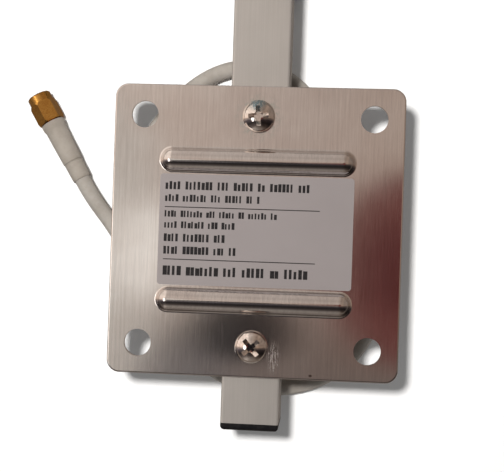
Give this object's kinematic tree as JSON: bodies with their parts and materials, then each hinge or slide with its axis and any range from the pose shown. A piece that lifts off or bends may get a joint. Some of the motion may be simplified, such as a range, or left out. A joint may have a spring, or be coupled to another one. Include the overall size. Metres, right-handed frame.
{
  "type": "yagi antenna",
  "caption": "Slim Yagi antenna: square mast plate with a label, square boom with element rods in clips, feed box, and a short coax pigtail ending in a screw-on plug.",
  "frame": {"origin": "centre of the mast plate's four holes, on the plate's outer face", "axes": "+Y along the boom towards the antenna's front, +Z out of the plate's outer face, +X across the boom along the elements"},
  "size_m": [0.1251, 0.695, 0.032],
  "materials": {
    "plate_metal": "brushed, grain along the boom",
    "boom_metal": "satin anodised",
    "element_metal": "drawn rod, satin",
    "black_plastic": "moulded, fine texture",
    "plated_steel": "nickel plated",
    "label_film": "silver-grey film",
    "cable_jacket": "soft vinyl",
    "shrink_sleeve": "shrunk sleeve",
    "gold_brass": "gold plated",
    "black_rubber": "matt",
    "ptfe": "waxy",
    "circuit_board": "solder mask",
    "thin_coax_jacket": "extruded"
  },
  "bodies": {
    "antenna": {"balun_board": "circuit_board", "boom": "boom_metal", "cable_bush": "black_rubber", "cable_root": "cable_jacket", "cable_tail": "cable_jacket", "centre_pin": "gold_brass", "clip_screws": "plated_steel", "coax_cable": "cable_jacket", "connector_body": "gold_brass", "crimp_ferrule": "gold_brass", "director_01": "element_metal", "director_02": "element_metal", "director_03": "element_metal", "director_04": "element_metal", "director_05": "element_metal", "director_06": "element_metal", "director_07": "element_metal", "director_08": "element_metal", "director_09": "element_metal", "director_10": "element_metal", "director_11": "element_metal", "director_12": "element_metal", "director_13": "element_metal", "director_14": "element_metal", "driven_element": "element_metal", "element_clips": "black_plastic", "feed_anchor_screws": "plated_steel", "feed_box_base": "black_plastic", "feed_box_lid": "black_plastic", "feed_lid_screws": "plated_steel", "front_end_cap": "black_plastic", "gasket": "black_rubber", "heat_shrink_front": "shrink_sleeve", "heat_shrink_rear": "shrink_sleeve", "inner_coax": "thin_coax_jacket", "insulator": "ptfe", "lock_washers": "plated_steel", "mount_plate": "plate_metal", "plate_nuts": "plated_steel", "plate_screws": "plated_steel", "rating_label": "label_film", "rear_end_cap": "black_plastic", "reflector": "element_metal", "snap_ring": "gold_brass", "splice_ferrule": "gold_brass"},
    "coupling_nut": {"coupling_nut": "gold_brass"}
  },
  "joints": [
    {"name": "coupling_nut_spin", "type": "hinge", "parent": "antenna", "child": "coupling_nut", "pos_m": [-0.0743, 0.03952, -0.02398], "axis": [-0.5039, 0.8638, 0], "continuous": true}
  ]
}
